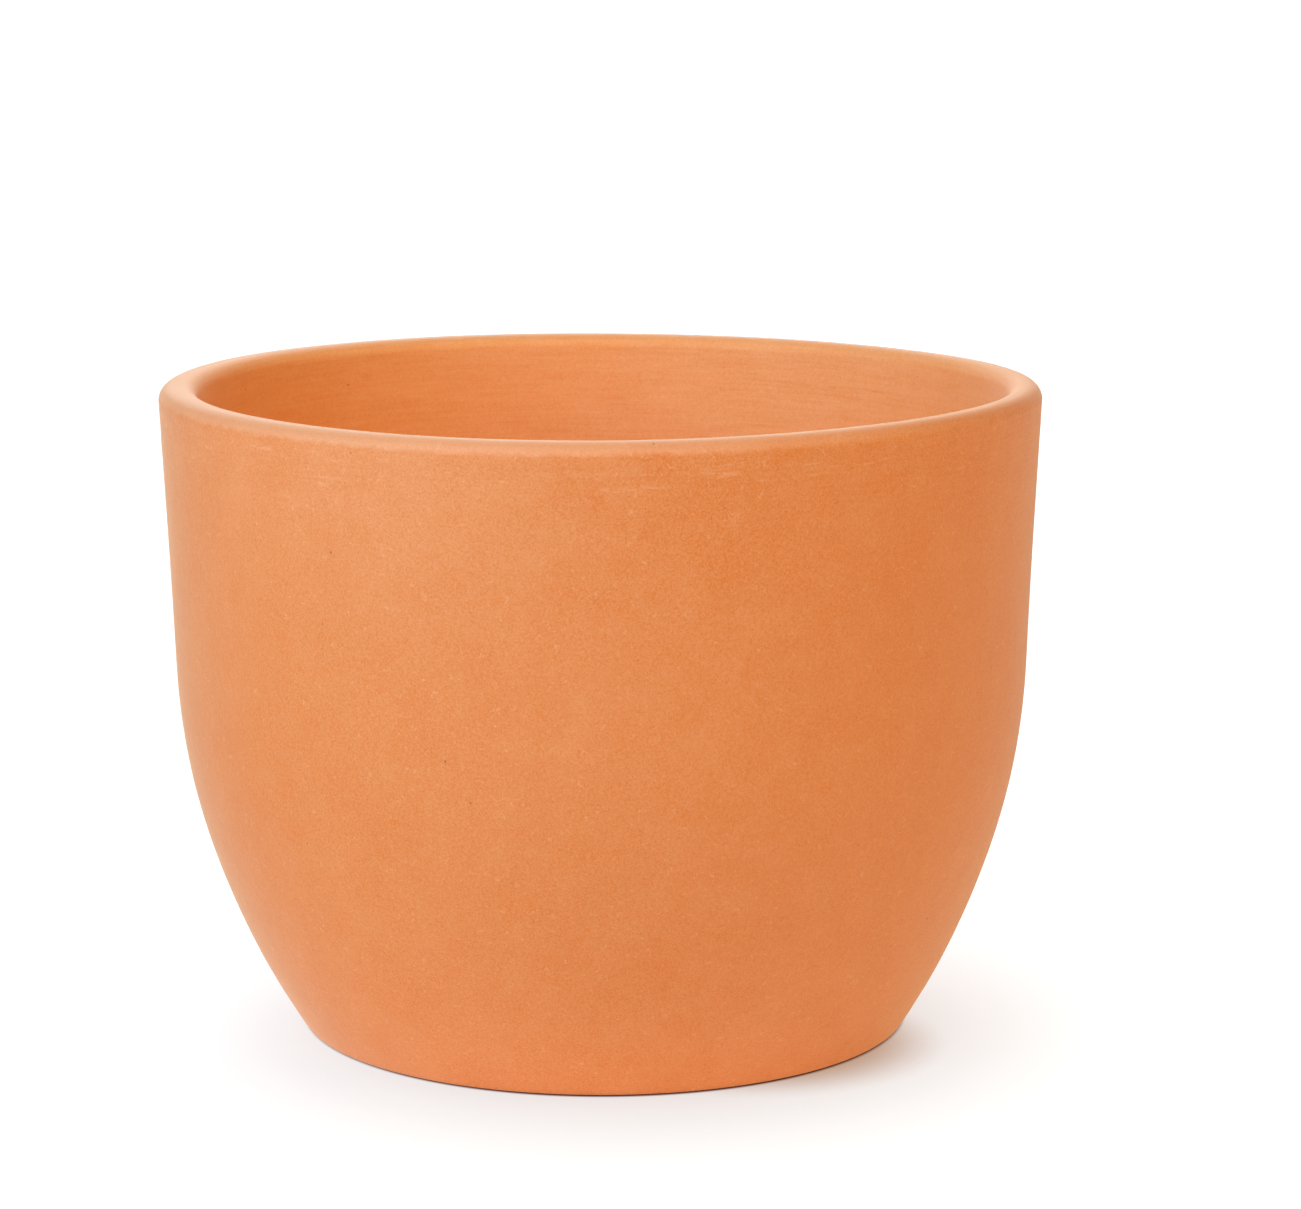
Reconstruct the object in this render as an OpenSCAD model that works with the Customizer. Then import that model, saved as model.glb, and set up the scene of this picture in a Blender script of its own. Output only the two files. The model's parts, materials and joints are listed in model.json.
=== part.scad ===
// Rounded terracotta planter: a one-piece fired clay pot with a soft rim,
// a nearly upright upper wall, a round belly and a narrower flat foot.
// The origin is the middle of the foot, on the surface that the pot stands on.

/* [Overall size] */
// Outer diameter of the rim, the widest part
rim_d = 300; // [260:1:400]
// Height from the standing surface to the top of the rim
height = 222; // [190:1:300]
// Diameter of the foot, where the belly would meet the standing surface
foot_d = 209; // [160:1:230]

/* [Wall] */
// Thickness of the clay wall, square to its surface
wall = 12; // [8:0.5:18]
// Lean of the straight upper wall away from upright, in degrees
taper = 2.4; // [0:0.1:5]
// Height at which the straight wall ends and the belly begins to curve in
belly_h = 126; // [95:1:160]

/* [Rim] */
// Radius of the rim's outer edge
rim_outer_r = 5; // [1:0.5:6]
// Radius of the rim's inner edge
rim_inner_r = 5; // [1:0.5:6]

/* [Base] */
// Height of the inside floor above the standing surface
floor_h = 14; // [10:0.5:24]
// Radius of the inside corner between the floor and the wall
floor_corner_r = 22; // [8:1:32]
// Radius of the foot's outer edge
foot_edge_r = 1.5; // [0.5:0.25:4]
// Width of the ring that the pot stands on
ring_w = 14; // [8:1:30]
// Depth of the shallow hollow inside that ring
hollow_depth = 2; // [0.5:0.25:4]
// Width of the slope between the ring and the hollow
hollow_slope_w = 5; // [1:0.5:10]

/* [Drain hole] */
// Diameter of the drain hole
drain_d = 24; // [12:1:40]
// Radius of the drain hole's upper and lower edges
drain_edge_r = 1.5; // [0.5:0.25:2.5]

/* [Hidden] */
$fn = 180;
clay = "#E08A55";
arc_error = 0.02; // how far the profile's curves may be from true arcs

// Unit direction at an angle in the profile's plane, x outwards and y up
function dir(angle) = [cos(angle), sin(angle)];

// Points of an arc from one angle to another
function arc(centre, r, from, to) =
    let (steps = ceil(abs(to - from) / (2 * acos(1 - arc_error / r))))
    [for (i = [0 : steps]) centre + r * dir(from + (to - from) * i / steps)];

// The rim's two edges are round, and together no wider than the wall
edge_share = min(1, wall / (rim_outer_r + rim_inner_r));
outer_edge_r = rim_outer_r * edge_share;
inner_edge_r = rim_inner_r * edge_share;
outer_edge_c = [rim_d / 2 - outer_edge_r, height - outer_edge_r];

// The straight wall leans out by taper, tangent to the rim's outer edge
wall_normal = dir(-taper);
function wall_at(y, depth) =
    [outer_edge_c.x + (outer_edge_r - depth + (y - outer_edge_c.y) * sin(taper)) / cos(taper), y];
inner_edge_c = wall_at(height - inner_edge_r, wall - inner_edge_r);

// The belly is one arc, tangent to the straight wall, down to the foot
belly_top = wall_at(belly_h, 0);
chord = [foot_d / 2, 0] - belly_top;
belly_r = -(chord * chord) / (2 * (chord * wall_normal));
belly_c = belly_top - belly_r * wall_normal;
cavity_r = belly_r - wall;

// Centre of a corner of radius r at height y, tangent inside an arc about
// the belly's centre, and the angle at which the two arcs meet
function corner_centre(arc_r, r, y) =
    [belly_c.x + sqrt(pow(arc_r - r, 2) - pow(belly_c.y - y, 2)), y];
function corner_angle(centre) = atan2(centre.y - belly_c.y, centre.x - belly_c.x);

foot_c = corner_centre(belly_r, foot_edge_r, foot_edge_r);
floor_c = corner_centre(cavity_r, floor_corner_r, floor_h + floor_corner_r);

// The drain hole's rounded edges, and where the standing ring ends
drain_edge_x = drain_d / 2 + drain_edge_r;
drain_top_c = [drain_edge_x, floor_h - drain_edge_r];
drain_bottom_c = [drain_edge_x, hollow_depth + drain_edge_r];
ring_inner_x = foot_c.x - ring_w;

// Half section of the pot, from the foot up the outside, over the rim, down
// the inside, and back along the underside
module pot_section() {
    polygon(concat(
        arc(foot_c, foot_edge_r, -90, corner_angle(foot_c)),
        arc(belly_c, belly_r, corner_angle(foot_c), -taper),
        arc(outer_edge_c, outer_edge_r, -taper, 90),
        arc(inner_edge_c, inner_edge_r, 90, 180 - taper),
        arc(belly_c, cavity_r, -taper, corner_angle(floor_c)),
        arc(floor_c, floor_corner_r, corner_angle(floor_c), -90),
        arc(drain_top_c, drain_edge_r, 90, 180),
        arc(drain_bottom_c, drain_edge_r, 180, 270),
        [[ring_inner_x - hollow_slope_w, hollow_depth], [ring_inner_x, 0]]
    ));
}

module pot() {
    color(clay) rotate_extrude() pot_section();
}

pot();
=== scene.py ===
"""A rounded terracotta planter: one thrown and fired clay pot on a pale floor.

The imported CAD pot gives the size. The clay body here repeats its section as
one closed surface of revolution, and adds what a turned pot has beyond it: a
rim that isn't quite level or round, a slightly oval foot a little off centre,
turning rings and uneven walls. All lengths are in metres.
"""

import json
import math

import bpy
import numpy as np
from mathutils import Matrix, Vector, noise


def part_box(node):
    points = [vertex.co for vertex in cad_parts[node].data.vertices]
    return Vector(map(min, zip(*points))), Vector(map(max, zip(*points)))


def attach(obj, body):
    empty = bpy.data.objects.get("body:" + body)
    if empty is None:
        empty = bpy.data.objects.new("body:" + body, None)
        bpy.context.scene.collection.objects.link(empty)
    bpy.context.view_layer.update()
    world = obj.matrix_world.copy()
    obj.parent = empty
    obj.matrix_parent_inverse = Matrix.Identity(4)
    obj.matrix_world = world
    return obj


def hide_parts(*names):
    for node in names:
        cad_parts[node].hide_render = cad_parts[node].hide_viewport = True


MM = 0.001

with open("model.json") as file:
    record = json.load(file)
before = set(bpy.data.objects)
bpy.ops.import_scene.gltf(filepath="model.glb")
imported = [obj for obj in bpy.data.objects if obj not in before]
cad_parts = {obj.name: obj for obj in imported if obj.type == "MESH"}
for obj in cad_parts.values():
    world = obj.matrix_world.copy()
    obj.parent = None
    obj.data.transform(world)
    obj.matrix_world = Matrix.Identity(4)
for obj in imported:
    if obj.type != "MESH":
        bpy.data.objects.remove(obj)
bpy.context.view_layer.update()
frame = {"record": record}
_, pot_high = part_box("pot")

# Overall size, from the frame
RIM_R = min(pot_high.x, pot_high.y)
HEIGHT = pot_high.z
DRAIN_R = frame["record"]["mounts"][1]["dims"]["r_mm"] * MM

# The pot's section
FOOT_R = 104.5 * MM
WALL = 12 * MM
TAPER = math.radians(2.4)
BELLY_H = 126 * MM
RIM_EDGE_R = 5 * MM
FLOOR_H = 14 * MM
FLOOR_CORNER_R = 22 * MM
FOOT_EDGE_R = 1.5 * MM
RING_W = 14 * MM
HOLLOW_DEPTH = 2 * MM
HOLLOW_SLOPE_W = 5 * MM
DRAIN_EDGE_R = 1.5 * MM

# How finely the section and the turn are divided
TURN_STEPS = 300
WALL_STEP = 1.9 * MM
FLAT_STEP = 3.2 * MM
ROUND_STEP = 0.8 * MM

# How the rim departs from a level circle, and the foot from a round one: (times
# round, cosine part, sine part)
RIM_LIFT = ((1, -0.25 * MM, -1.0 * MM), (2, 0.4 * MM, -0.4 * MM), (3, 0, -0.15 * MM))
RIM_SWELL = ((2, 1.1 * MM, 1.0 * MM),)
FOOT_SWELL = ((2, 0.5 * MM, 0),)

# How far the inside of the rim and the foot are off centre, to the right, and the
# width round the drain hole where the underside isn't moved
INNER_SHIFT = 0.9 * MM
FOOT_SHIFT = 0.6 * MM
DRAIN_CLEAR = 10 * MM

# How the outside departs from the section: (height, change of radius)
GIRTH = ((0, -0.1 * MM), (45 * MM, -0.6 * MM), (95 * MM, -0.2 * MM), (150 * MM, -0.3 * MM),
         (HEIGHT, 0.25 * MM))

# The clay's unevenness: the size of its swellings and of its turning rings, how
# flat the rings are, how deep both are, and the height below which they fade away
BROAD_SIZE = 70 * MM
BROAD_DEPTH = 0.12 * MM
RING_SIZE = 55 * MM
RING_FLATNESS = 9
RING_DEPTH_OUTSIDE = 0.05 * MM
RING_DEPTH_INSIDE = 0.12 * MM
UNEVEN_FROM_H = 12 * MM

# Screen colours of the clay at its darkest and palest, outside and inside. The inside ones are
# painted paler, as painted light inside the pot.
CLAY_OUTSIDE = ((213, 112, 40), (222, 137, 84))
CLAY_INSIDE_PAINTED_PALER = ((239, 148, 76), (249, 178, 123))

# Screen colours towards which the marks turn the clay. The first three are painted highlights:
# under the lip at the front left, in a band along the lip and on its crest.
UPPER_HIGHLIGHT_COLOUR = (242, 186, 148)
LIP_HIGHLIGHT_COLOUR = (248, 190, 154)
CREST_HIGHLIGHT_COLOUR = (255, 194, 162)
WISP_COLOUR = (240, 180, 140)
SCUFF_COLOUR = (242, 185, 145)
SPECK_COLOUR = (246, 200, 165)
PIT_COLOUR = (150, 72, 36)

# Middles of the painted highlights: a pale patch under the lip at the front left, a pale band
# along the lip, and the lip's crest, palest at its left end towards the key lamp
UPPER_HIGHLIGHT_PLACE = (-70 * MM, -125 * MM, HEIGHT)
LIP_HIGHLIGHT_PLACE = (-70 * MM, -140 * MM, HEIGHT)
CREST_HIGHLIGHT_PLACE = (-150 * MM, 0, HEIGHT)

# How far the lip's lower edge, where its painted highlight band ends, wanders up and down
LIP_RAGGED = 3.0 * MM

# Colours of the paper floor and of the faint glow that it throws on the pot
PAPER_COLOUR = (0.85, 0.85, 0.85, 1)
BOUNCE_COLOUR = (1.0, 0.94, 0.68, 1)

# What the camera sees of the paper: plain white, multiplied by these painted shadows in front
# of the pot, right of the foot and at the contact line
WHITE = (1, 1, 1, 1)
FRONT_SHADOW = (0.61, 0.6, 0.61, 1)
RIGHT_SHADE = (0.57, 0.395, 0.3, 1)
CONTACT_SHADOW = (0.14, 0.04, 0.025, 1)

# The floor's sheet, and how far it lies under the foot
FLOOR_HALF = 30.0
FLOOR_DROP = 0.05 * MM

# The camera stands in front of the pot, a little above its rim
CAMERA_DISTANCE = 1.471
CAMERA_ELEVATION = math.radians(11.904)
CAMERA_YAW = math.radians(0.666)
CAMERA_PITCH = math.radians(10.662)
CAMERA_LENS = 117.92
CAMERA_SENSOR = 36

# Soft lamps stand round the pot and face it: (name, watts, degrees to the
# camera's right of the pot's front, degrees up, tint)
LAMP_DISTANCE = 1.8
LAMP_SIZE = 1.3
LAMPS = (
    ("key", 10.9, -60, 30, (0.82, 0.95, 1.0)),
    ("front", 15.4, -25, 25, (0.715, 0.915, 1.0)),
    ("high_left", 6.3, -45, 62, (0.87, 0.98, 1.0)),
    ("high_front", 4.4, 0, 62, (0.97, 0.97, 0.97)),
    ("side", 13.2, 68, 30, (1.0, 0.63, 0.12)),
    ("edge", 1.7, 112, 30, (0.5, 1.0, 0.4)),
    ("behind", 17, 185, 24, (0.92, 0.93, 1.0)),
)
WORLD_LIGHT = 0.02


# ---------------------------------------------------------------- section

def direction(angle):
    """Unit vector at an angle in the section's plane, x outwards and y up."""
    return np.array([math.cos(angle), math.sin(angle)])


def arc(centre, radius, start, end, step):
    """Points about step apart along an arc, both ends included."""
    count = max(2, math.ceil(abs(end - start) * radius / step))
    angles = np.linspace(start, end, count + 1)
    return centre + radius * np.column_stack([np.cos(angles), np.sin(angles)])


def line(start, end, step):
    """Points about step apart along a straight line, without its ends."""
    count = max(1, math.ceil(np.linalg.norm(end - start) / step))
    return start + (end - start) * np.linspace(0, 1, count + 1)[1:-1, None]


def section():
    """The half section as a list of (name, points), from the foot up the
    outside, over the rim, down the inside and back along the underside."""
    outer_c = np.array([RIM_R - RIM_EDGE_R, HEIGHT - RIM_EDGE_R])
    normal = direction(-TAPER)

    def wall_at(y, depth):
        """The straight wall's point at a height, and at a depth in the clay."""
        run = RIM_EDGE_R - depth + (y - outer_c[1]) * math.sin(TAPER)
        return np.array([outer_c[0] + run / math.cos(TAPER), y])

    inner_c = wall_at(HEIGHT - RIM_EDGE_R, WALL - RIM_EDGE_R)
    belly_top = wall_at(BELLY_H, 0)
    chord = np.array([FOOT_R, 0]) - belly_top
    belly_r = -(chord @ chord) / (2 * (chord @ normal))
    belly_c = belly_top - belly_r * normal
    cavity_r = belly_r - WALL

    def corner(arc_r, r, y):
        """Centre of a corner of radius r inside an arc, and where they meet."""
        across = math.sqrt((arc_r - r) ** 2 - (belly_c[1] - y) ** 2)
        centre = np.array([belly_c[0] + across, y])
        return centre, math.atan2(y - belly_c[1], across)

    foot_c, foot_a = corner(belly_r, FOOT_EDGE_R, FOOT_EDGE_R)
    floor_c, floor_a = corner(cavity_r, FLOOR_CORNER_R, FLOOR_H + FLOOR_CORNER_R)
    up, down, left = math.pi / 2, -math.pi / 2, math.pi
    drain_x = DRAIN_R + DRAIN_EDGE_R
    drain_top = np.array([drain_x, FLOOR_H - DRAIN_EDGE_R])
    drain_low = np.array([drain_x, HOLLOW_DEPTH + DRAIN_EDGE_R])
    ring_in = np.array([foot_c[0] - RING_W, 0])
    hollow_out = np.array([ring_in[0] - HOLLOW_SLOPE_W, HOLLOW_DEPTH])

    foot = arc(foot_c, FOOT_EDGE_R, down, foot_a, ROUND_STEP / 2)
    belly = arc(belly_c, belly_r, foot_a, -TAPER, WALL_STEP)
    outer_edge = arc(outer_c, RIM_EDGE_R, -TAPER, up, ROUND_STEP)
    inner_edge = arc(inner_c, RIM_EDGE_R, up, left - TAPER, ROUND_STEP)
    cavity = arc(belly_c, cavity_r, -TAPER, floor_a, WALL_STEP)
    corner_in = arc(floor_c, FLOOR_CORNER_R, floor_a, down, WALL_STEP)
    hole_top = arc(drain_top, DRAIN_EDGE_R, up, left, ROUND_STEP / 2)
    hole_low = arc(drain_low, DRAIN_EDGE_R, left, left + up, ROUND_STEP / 2)
    return [
        ("outside", np.vstack([foot, belly[1:], line(belly[-1], outer_edge[0], WALL_STEP)])),
        ("lip", np.vstack([outer_edge, line(outer_edge[-1], inner_edge[0], ROUND_STEP),
                           inner_edge])),
        ("inside", np.vstack([line(inner_edge[-1], cavity[0], WALL_STEP), cavity,
                              corner_in[1:]])),
        ("floor", line(corner_in[-1], hole_top[0], FLAT_STEP)),
        ("hole", np.vstack([hole_top, line(hole_top[-1], hole_low[0], FLAT_STEP), hole_low])),
        ("underside", np.vstack([line(hole_low[-1], hollow_out, FLAT_STEP), [hollow_out],
                                 line(hollow_out, ring_in, FLAT_STEP), [ring_in],
                                 line(ring_in, foot[0], FLAT_STEP)])),
    ]


# ---------------------------------------------------------------- clay body

def harmonics(angle, terms):
    """Sum of cosine and sine waves round the pot, highest point at zero."""
    def total(a):
        return sum(c * np.cos(k * a) + s * np.sin(k * a) for k, c, s in terms)
    return total(angle) - total(np.linspace(0, math.tau, 721)).max()


def smooth(low, high, value):
    """0 at low and before, 1 at high and beyond, smooth between them."""
    t = np.clip((value - low) / (high - low), 0, 1)
    return t * t * (3 - 2 * t)


def girth(height):
    """Change of the outside's radius at a height, smooth between the given ones."""
    change = GIRTH[0][1]
    for (low, before), (high, after) in zip(GIRTH, GIRTH[1:]):
        change = change + (after - before) * smooth(low, high, height)
    return change


def uneven(points, size, flatness=1.0, seed=0):
    """Smooth noise from -1 to 1 with features of a size, flattened upright."""
    scale = np.array([1 / size, 1 / size, flatness / size])
    offset = Vector((seed * 17.3, seed * 5.1, seed * 9.7))
    return np.array([noise.noise(Vector(p) + offset) for p in points * scale])


def column(values):
    """One value for each ring of the turned section, the same all the way round."""
    return np.asarray(values)[:, None]


def relief(names, radius, level, angles):
    """How far the clay stands out of its section, along the normal: broad
    unevenness, faint turning rings outside and clearer ones inside."""
    height = level + 0 * angles
    turned = np.stack([radius * np.cos(angles), radius * np.sin(angles), height], -1)
    points = turned.reshape(-1, 3)
    broad = uneven(points, BROAD_SIZE, seed=1).reshape(height.shape)
    rings = uneven(points, RING_SIZE, RING_FLATNESS, seed=2).reshape(height.shape)
    outside = column(names == "outside")
    inside = column(np.isin(names, ("inside", "floor")))
    depth = BROAD_DEPTH * (broad - 1) + RING_DEPTH_OUTSIDE * (rings - 1) * outside
    depth = depth + inside * RING_DEPTH_INSIDE * rings
    return depth * (smooth(0, UNEVEN_FROM_H, level) + column(names == "floor"))


def clay_surface():
    """Vertices of the clay body, ring by ring, with masks for its material."""
    parts = section()
    names = np.concatenate([[name] * len(points) for name, points in parts])
    profile = np.vstack([points for _, points in parts])
    radius, level = column(profile[:, 0]), column(profile[:, 1])
    angles = np.arange(TURN_STEPS) * math.tau / TURN_STEPS

    tangent = np.roll(profile, -1, 0) - np.roll(profile, 1, 0)
    normal = np.column_stack([tangent[:, 1], -tangent[:, 0]])
    normal /= np.linalg.norm(normal, axis=1)[:, None]
    depth = relief(names, radius, level, angles)

    near_rim = (level / HEIGHT) ** 2
    near_foot = (1 - level / HEIGHT) ** 3
    beyond_drain = smooth(DRAIN_R + DRAIN_CLEAR, FOOT_R - RING_W, radius)
    outwards = smooth(RIM_R - WALL, RIM_R, radius)
    inwards = smooth(RIM_R, RIM_R - WALL, radius)
    on_lip = column(names == "lip")
    outside = np.where(on_lip, outwards, column(names == "outside"))
    bored = column(np.isin(names, ("inside", "lip")))
    covered = column(np.isin(names, ("lip", "inside", "floor")))

    r = radius + near_rim * harmonics(angles, RIM_SWELL)
    r = r + girth(level) * outside + column(normal[:, 0]) * depth
    r = r + harmonics(angles, FOOT_SWELL) * near_foot * beyond_drain
    z = level + near_rim * harmonics(angles, RIM_LIFT) + column(normal[:, 1]) * depth
    shift = INNER_SHIFT * near_rim * bored * inwards
    shift = shift + FOOT_SHIFT * near_foot * beyond_drain
    points = np.stack([r * np.cos(angles) + shift, r * np.sin(angles), z], -1)
    masks = {"level": level + 0 * angles, "inside": inwards * covered + 0 * angles}
    return points.reshape(-1, 3), masks, len(profile)


def clay_faces(rings):
    """Quads between neighbouring rings, closed both ways round."""
    ring = np.arange(rings)[:, None]
    step = np.arange(TURN_STEPS)[None, :]
    next_ring = (ring + 1) % rings
    next_step = (step + 1) % TURN_STEPS
    corners = [(ring, step), (ring, next_step), (next_ring, next_step), (next_ring, step)]
    return np.stack([a * TURN_STEPS + b for a, b in corners], -1).reshape(-1, 4)


def make_pot(material):
    """The clay body as one closed smooth mesh."""
    points, masks, rings = clay_surface()
    mesh = bpy.data.meshes.new("clay_body")
    mesh.from_pydata(points.tolist(), [], clay_faces(rings).tolist())
    mesh.polygons.foreach_set("use_smooth", [True] * len(mesh.polygons))
    for name, values in masks.items():
        layer = mesh.attributes.new(name, "FLOAT", "POINT")
        layer.data.foreach_set("value", values.astype(np.float32).ravel())
    mesh.materials.append(material)
    mesh.update()
    pot = bpy.data.objects.new("clay_body", mesh)
    bpy.context.scene.collection.objects.link(pot)
    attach(pot, "root")
    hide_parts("pot")


# ---------------------------------------------------------------- materials

def node(tree, kind, inputs=None, **settings):
    """Adds a shader node, with values or links on its inputs."""
    made = tree.nodes.new("ShaderNode" + kind)
    for name, value in settings.items():
        setattr(made, name, value)
    for name, value in (inputs or {}).items():
        feed(tree, made.inputs[name], value)
    return made


def feed(tree, socket, value):
    """Links a socket to another node's output, or sets it to a plain value."""
    if isinstance(value, bpy.types.NodeSocket):
        tree.links.new(value, socket)
    else:
        socket.default_value = value


def linear(red, green, blue):
    """Linear colour from 0 to 255 screen values."""
    def one(v):
        v /= 255
        return v / 12.92 if v <= 0.04045 else ((v + 0.055) / 1.055) ** 2.4
    return (one(red), one(green), one(blue), 1)


class Fields:
    """Patterns for a material, all in the pot's own coordinates in metres."""

    def __init__(self, tree):
        self.tree = tree
        self.place = node(tree, "TexCoord").outputs["Object"]

    def spread(self, size, squash, seed):
        """Coordinates in units of a feature's size, squashed upright."""
        scale = (1 / size, 1 / size, squash / size)
        shift = (seed * 3.7, seed * 1.9, seed * 2.3)
        inputs = {"Vector": self.place, "Scale": scale, "Location": shift}
        return node(self.tree, "Mapping", inputs).outputs[0]

    def noise(self, size, seed, detail=2.0, rough=0.5, squash=1.0):
        """Cloudy noise, 0 to 1, with features of a size."""
        inputs = {"Vector": self.spread(size, squash, seed), "Scale": 1.0,
                  "Detail": detail, "Roughness": rough}
        return node(self.tree, "TexNoise", inputs).outputs["Fac"]

    def dots(self, spacing, radius, seed):
        """Soft round dots where scattered points lie near the surface."""
        inputs = {"Vector": self.spread(spacing, 1.0, seed), "Scale": 1.0}
        near = node(self.tree, "TexVoronoi", inputs).outputs["Distance"]
        return self.ramp(near, radius / spacing, 0.4 * radius / spacing)

    def distance(self, point):
        """Distance from a point."""
        inputs = {0: self.place, 1: point}
        return node(self.tree, "VectorMath", inputs, operation="DISTANCE").outputs["Value"]

    def attribute(self, name):
        """A value stored on the mesh."""
        return node(self.tree, "Attribute", attribute_name=name).outputs["Fac"]

    def math(self, operation, *values):
        """A math node."""
        return node(self.tree, "Math", dict(enumerate(values)), operation=operation).outputs[0]

    def ramp(self, value, low, high, to_low=0.0, to_high=1.0):
        """Smooth step from low to high, either way round."""
        inputs = {"Value": value, "From Min": low, "From Max": high,
                  "To Min": to_low, "To Max": to_high}
        made = node(self.tree, "MapRange", inputs, interpolation_type="SMOOTHSTEP")
        return made.outputs["Result"]

    def total(self, *terms):
        """Sum of (weight, field - 0.5) pairs, plus 0.5."""
        result = 0.5
        for weight, field in terms:
            centred = self.math("SUBTRACT", field, 0.5)
            result = self.math("MULTIPLY_ADD", centred, weight, result)
        return result

    def blend(self, first, second):
        """One colour times another."""
        inputs = {0: first, 1: second}
        return node(self.tree, "VectorMath", inputs, operation="MULTIPLY").outputs["Vector"]

    def mix(self, factor, low, high):
        """Colour between low and high."""
        made = node(self.tree, "Mix", data_type="RGBA")
        for index, value in ((0, factor), (6, low), (7, high)):
            feed(self.tree, made.inputs[index], value)
        return made.outputs[2]


def new_material(name):
    """An empty node material and its tree."""
    material = bpy.data.materials.new(name)
    material.use_nodes = True
    material.node_tree.nodes.clear()
    return material, material.node_tree


class Clay:
    """Unglazed fired clay: its masks and patterns, and what they make of its
    tone, colour and relief."""

    def __init__(self, tree):
        f = self.fields = Fields(tree)
        self.level = f.attribute("level")
        self.inside = f.attribute("inside")
        ragged = f.noise(5 * MM, 1, detail=3, rough=0.6)
        edge = f.math("MULTIPLY_ADD", ragged, LIP_RAGGED, self.level)
        self.lip = f.ramp(edge, HEIGHT - 3.2 * MM, HEIGHT - 1.2 * MM)
        belt = f.ramp(self.level, HEIGHT - 36 * MM, HEIGHT - 10 * MM)
        self.under_lip = f.math("SUBTRACT", belt, self.lip)

        self.clouds = f.noise(60 * MM, 2, detail=3)
        self.blotches = f.noise(15 * MM, 3, detail=3, rough=0.55)
        self.mottle = f.noise(4 * MM, 4, detail=1)
        self.sand = f.noise(1.9 * MM, 5, detail=1)
        self.grain = f.noise(1.0 * MM, 6, detail=0)
        self.fine = f.noise(0.55 * MM, 7, detail=0)
        self.pits = f.dots(15 * MM, 0.5 * MM, 11)

        self.streaks = f.noise(50 * MM, 8, detail=3, rough=0.6, squash=9)
        self.scrapes = f.noise(22 * MM, 9, detail=2, rough=0.6, squash=22)
        streaked_inside = f.math("MULTIPLY", self.inside, 0.45)
        streaked_belt = f.math("MULTIPLY", self.under_lip, 0.4)
        self.streaked = f.math("MAXIMUM", streaked_inside, streaked_belt)

    def tone(self):
        """How pale the clay is, 0.5 on average: cloudy, mottled, sandy, streaked."""
        f = self.fields
        tone = f.total((0.5, self.clouds), (0.6, self.blotches), (0.22, self.mottle),
                       (0.24, self.sand), (0.5, self.grain), (1.25, self.fine))
        contrast = f.ramp(self.level, HEIGHT - 80 * MM, HEIGHT - 10 * MM, 1.0, 1.25)
        contrast = f.math("MULTIPLY", contrast, f.ramp(self.inside, 0, 1, 1.0, 0.48))
        tone = f.math("MULTIPLY_ADD", f.math("SUBTRACT", tone, 0.5), contrast, 0.5)
        streaks = f.math("SUBTRACT", self.streaks, 0.5)
        scrapes = f.math("SUBTRACT", self.scrapes, 0.5)
        tone = f.math("MULTIPLY_ADD", streaks, self.streaked, tone)
        return f.math("MULTIPLY_ADD", scrapes, f.math("MULTIPLY", self.streaked, 1.6), tone)

    def marks(self):
        """(share, screen colour) of each mark on the clay, the lowest first: painted
        highlights under the lip at the front left, in a band along the lip and on its crest,
        then wisps, scuffs, specks and pits."""
        f = self.fields
        # Painted highlights: a pale patch under the lip, a band along the lip and a line on
        # its crest, all palest towards the left, where the key lamp falls.
        upper_highlight_edge = f.math("MULTIPLY_ADD", self.clouds, 50 * MM, f.distance(UPPER_HIGHLIGHT_PLACE))
        upper_highlight = f.ramp(upper_highlight_edge, 125 * MM, 40 * MM)
        lip_highlight = f.ramp(f.distance(LIP_HIGHLIGHT_PLACE), 240 * MM, 90 * MM, 0, 0.26)
        crest = f.ramp(self.level, HEIGHT - 1.4 * MM, HEIGHT - 0.1 * MM)
        crest_highlight = f.ramp(f.distance(CREST_HIGHLIGHT_PLACE), 120 * MM, 0, 0.16, 0.38)
        threads = f.math("SUBTRACT", f.noise(3.6 * MM, 12, detail=2), 0.5)
        threads = f.ramp(f.math("ABSOLUTE", threads), 0.02, 0.005)
        wisps = f.math("MULTIPLY", threads, f.ramp(f.noise(2.6 * MM, 13), 0.56, 0.66))
        scuffs = f.ramp(f.noise(13 * MM, 14, detail=2, rough=0.6, squash=6), 0.62, 0.74)
        scuffs = f.math("MULTIPLY", scuffs, f.ramp(self.under_lip, 0.6, 0.9))
        specks = f.dots(11 * MM, 0.4 * MM, 10)
        return [
            (f.math("MULTIPLY", upper_highlight, 0.11), UPPER_HIGHLIGHT_COLOUR),
            (f.math("MULTIPLY", self.lip, lip_highlight), LIP_HIGHLIGHT_COLOUR),
            (f.math("MULTIPLY", crest, crest_highlight), CREST_HIGHLIGHT_COLOUR),
            (f.math("MULTIPLY", wisps, 0.3), WISP_COLOUR),
            (f.math("MULTIPLY", scuffs, 0.2), SCUFF_COLOUR),
            (f.math("MULTIPLY", specks, 0.36), SPECK_COLOUR),
            (f.math("MULTIPLY", self.pits, 0.7), PIT_COLOUR),
        ]

    def colour(self, tone):
        """The clay's colour at a tone, painted paler inside as painted light, with its marks.
        """
        f = self.fields
        outside = f.mix(tone, *[linear(*shade) for shade in CLAY_OUTSIDE])
        # The inside colours are painted paler: painted light inside the pot.
        inside = f.mix(tone, *[linear(*shade) for shade in CLAY_INSIDE_PAINTED_PALER])
        colour = f.mix(self.inside, outside, inside)
        for share, mark in self.marks():
            colour = f.mix(share, colour, linear(*mark))
        return colour

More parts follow.
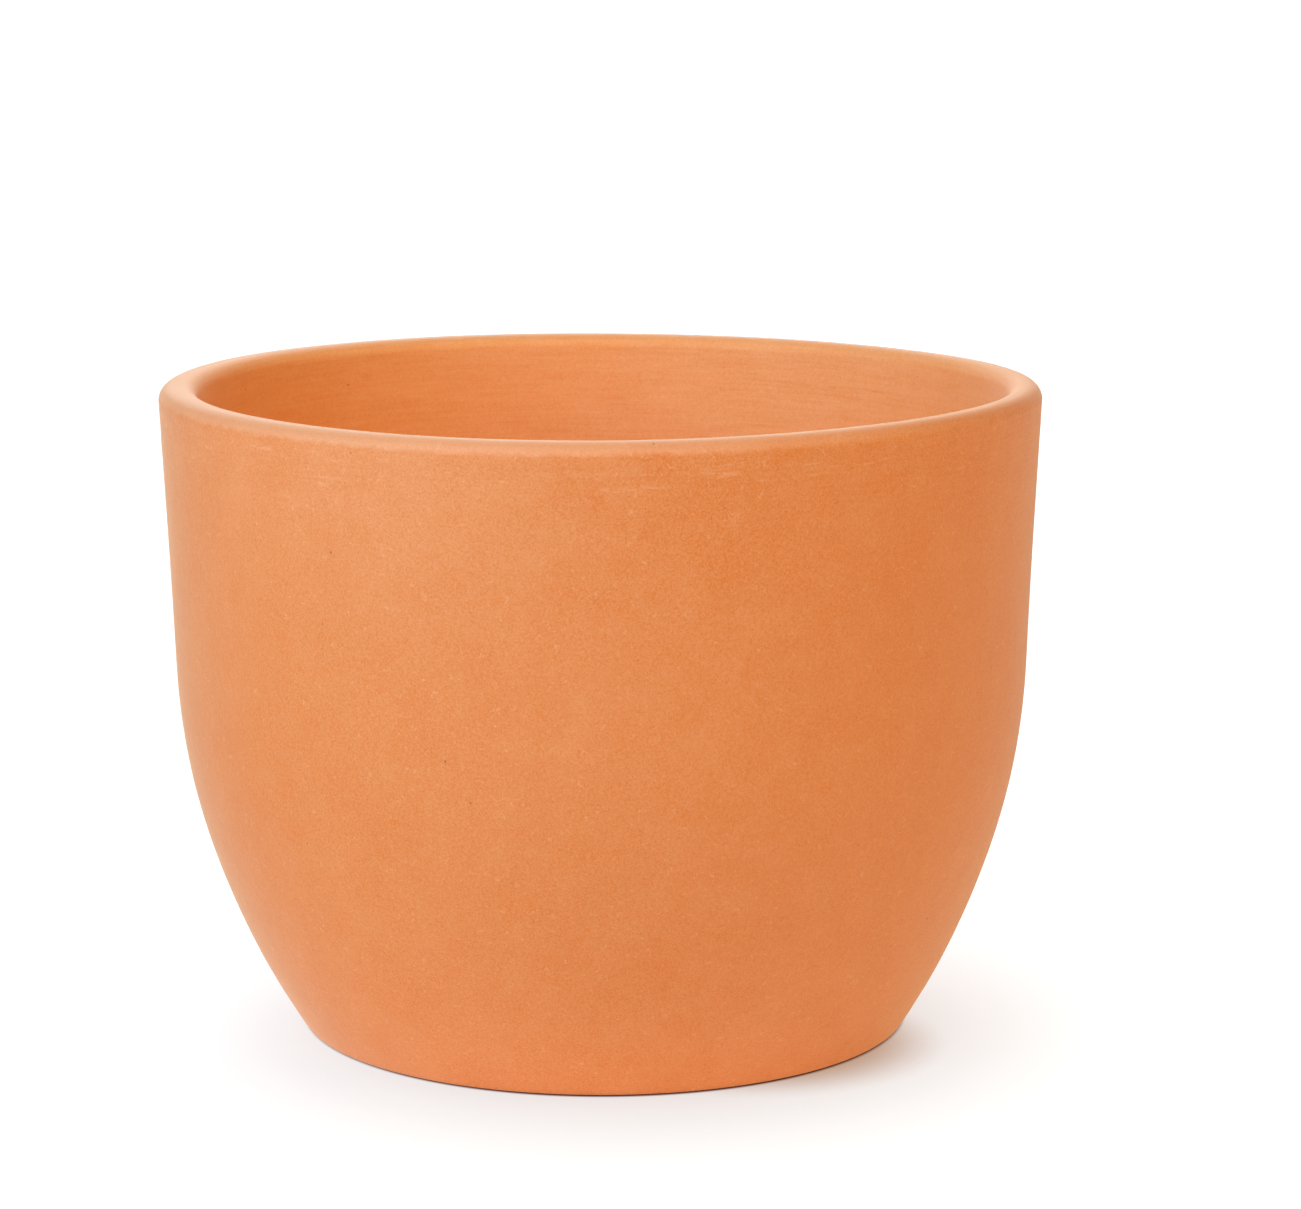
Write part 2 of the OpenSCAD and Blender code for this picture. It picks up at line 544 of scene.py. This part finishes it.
    def bumps(self):
        """Normals with sandy relief, turning rings, scrapes and pits, softer
        inside and on the lip."""
        f = self.fields
        height = f.math("MULTIPLY", self.fine, 0.05)
        for weight, pattern in ((0.08, self.grain), (0.09, self.sand), (0.12, self.mottle)):
            height = f.math("MULTIPLY_ADD", pattern, weight, height)
        for weight, pattern in ((0.3, self.scrapes), (0.6, self.streaks)):
            share = f.math("MULTIPLY", self.streaked, weight)
            height = f.math("MULTIPLY_ADD", pattern, share, height)
        height = f.math("MULTIPLY_ADD", self.pits, -0.3, height)
        rubbed = f.math("MAXIMUM", f.math("MULTIPLY", self.lip, 0.6), self.inside)
        strength = f.ramp(rubbed, 0, 1, 0.9, 0.4)
        inputs = {"Height": height, "Strength": strength, "Distance": 1.0 * MM}
        return node(f.tree, "Bump", inputs).outputs[0]


def terracotta():
    """The pot's material: dull clay, a little downy at a slant."""
    material, tree = new_material("fired_clay")
    clay = Clay(tree)
    tone = clay.tone()
    roughness = clay.fields.ramp(tone, 0.2, 0.8, 0.64, 0.74)
    shader = node(tree, "BsdfPrincipled", {
        "Base Color": clay.colour(tone), "Roughness": roughness, "Normal": clay.bumps(),
        "Sheen Weight": 0.32, "Sheen Roughness": 0.4, "Sheen Tint": (1.0, 1.0, 0.8, 1)})
    node(tree, "OutputMaterial", {"Surface": shader.outputs[0]})
    return material


def floor_material():
    """White paper, bright to the camera and in gloss. Painted shadows dim it in front of the
    pot and right of the foot, away from the key lamp, and darken it at the contact line. The
    pot itself is lit by plain paper with a faint warm glow."""
    material, tree = new_material("white_paper")
    f = Fields(tree)

    def away(right, front, start, end):
        """0 to 1 with the distance from a foot-sized disc, moved right and forward."""
        distance = f.distance((FOOT_SHIFT + right, -front, 0))
        return f.ramp(distance, FOOT_R + start, FOOT_R + end)

    def paper(colour, glow, strength):
        """Dull paper of a colour, with a glow of its own."""
        dull = node(tree, "BsdfDiffuse", {"Color": colour})
        glow = node(tree, "Emission", {"Color": glow, "Strength": strength})
        return node(tree, "AddShader", {0: dull.outputs[0], 1: glow.outputs[0]}).outputs[0]

    bounce = f.ramp(away(0, 0, 0, 70 * MM), 0, 1, 0.45, 0.31)
    bounce = f.math("MULTIPLY", away(0, 0, -1.6 * MM, 0), bounce)
    lit = paper(PAPER_COLOUR, BOUNCE_COLOUR, bounce)

    # Painted shadows on the paper: in front of the pot, right of the foot, and a dark contact
    # line.
    front_shadow = f.mix(away(7 * MM, 30 * MM, -70 * MM, 117 * MM), FRONT_SHADOW, WHITE)
    shade = f.mix(away(52 * MM, 42 * MM, -70 * MM, -37 * MM), RIGHT_SHADE, WHITE)
    contact_shadow = f.mix(away(0.3 * MM, 0.6 * MM, -1.6 * MM, 0.8 * MM), CONTACT_SHADOW, WHITE)
    glow = f.blend(f.blend(front_shadow, shade), contact_shadow)
    # The painted contact shadow also darkens the paper's own colour.
    seen = paper(f.blend(contact_shadow, (0.2, 0.2, 0.2)), glow, 1.0)

    path = node(tree, "LightPath")
    rays = f.math("MAXIMUM", path.outputs["Is Camera Ray"], path.outputs["Is Glossy Ray"])
    mixed = node(tree, "MixShader", {0: rays, 1: lit, 2: seen})
    node(tree, "OutputMaterial", {"Surface": mixed.outputs[0]})
    return material


# ---------------------------------------------------------------- studio

def make_camera():
    """The camera at the photograph's viewing angle."""
    data = bpy.data.cameras.new("camera")
    data.sensor_width = CAMERA_SENSOR
    data.lens = CAMERA_LENS
    camera = bpy.data.objects.new("camera", data)
    bpy.context.scene.collection.objects.link(camera)
    reach = CAMERA_DISTANCE * math.cos(CAMERA_ELEVATION)
    rise = CAMERA_DISTANCE * math.sin(CAMERA_ELEVATION)
    camera.location = (0, -reach, HEIGHT / 2 + rise)
    camera.rotation_euler = (math.pi / 2 - CAMERA_PITCH, 0, -CAMERA_YAW)
    bpy.context.scene.camera = camera


def make_floor():
    """A wide flat sheet just under the foot."""
    mesh = bpy.data.meshes.new("floor")
    half, low = FLOOR_HALF, -FLOOR_DROP
    corners = [(-half, -half, low), (half, -half, low), (half, half, low), (-half, half, low)]
    mesh.from_pydata(corners, [], [(0, 1, 2, 3)])
    mesh.materials.append(floor_material())
    floor = bpy.data.objects.new("floor", mesh)
    bpy.context.scene.collection.objects.link(floor)


def make_lamp(name, watts, side, height, tint):
    """A square soft lamp that faces the pot, from one row of LAMPS."""
    data = bpy.data.lights.new(name, "AREA")
    data.shape = "SQUARE"
    data.size = LAMP_SIZE
    data.energy = watts
    data.color = tint
    lamp = bpy.data.objects.new(name, data)
    bpy.context.scene.collection.objects.link(lamp)
    turn, rise = math.radians(side), math.radians(height)
    reach = math.cos(rise)
    out = Vector((math.sin(turn) * reach, -math.cos(turn) * reach, math.sin(rise)))
    lamp.location = Vector((0, 0, HEIGHT / 2)) + out * LAMP_DISTANCE
    lamp.rotation_euler = out.to_track_quat("Z", "Y").to_euler()


def make_world():
    """A faint light all round; plain white where the camera or a gloss sees it."""
    world = bpy.data.worlds.new("studio")
    bpy.context.scene.world = world
    world.use_nodes = True
    tree = world.node_tree
    tree.nodes.clear()
    path = node(tree, "LightPath")
    rays = {0: path.outputs["Is Camera Ray"], 1: path.outputs["Is Glossy Ray"]}
    seen = node(tree, "Math", rays, operation="MAXIMUM")
    inputs = {"Value": seen.outputs[0], "To Min": WORLD_LIGHT, "To Max": 1.0}
    level = node(tree, "MapRange", inputs)
    back = node(tree, "Background", {"Strength": level.outputs[0]})
    node(tree, "OutputWorld", {"Surface": back.outputs[0]})


make_camera()
make_pot(terracotta())
make_floor()
make_world()
for lamp in LAMPS:
    make_lamp(*lamp)
bpy.context.scene.view_settings.view_transform = "Standard"
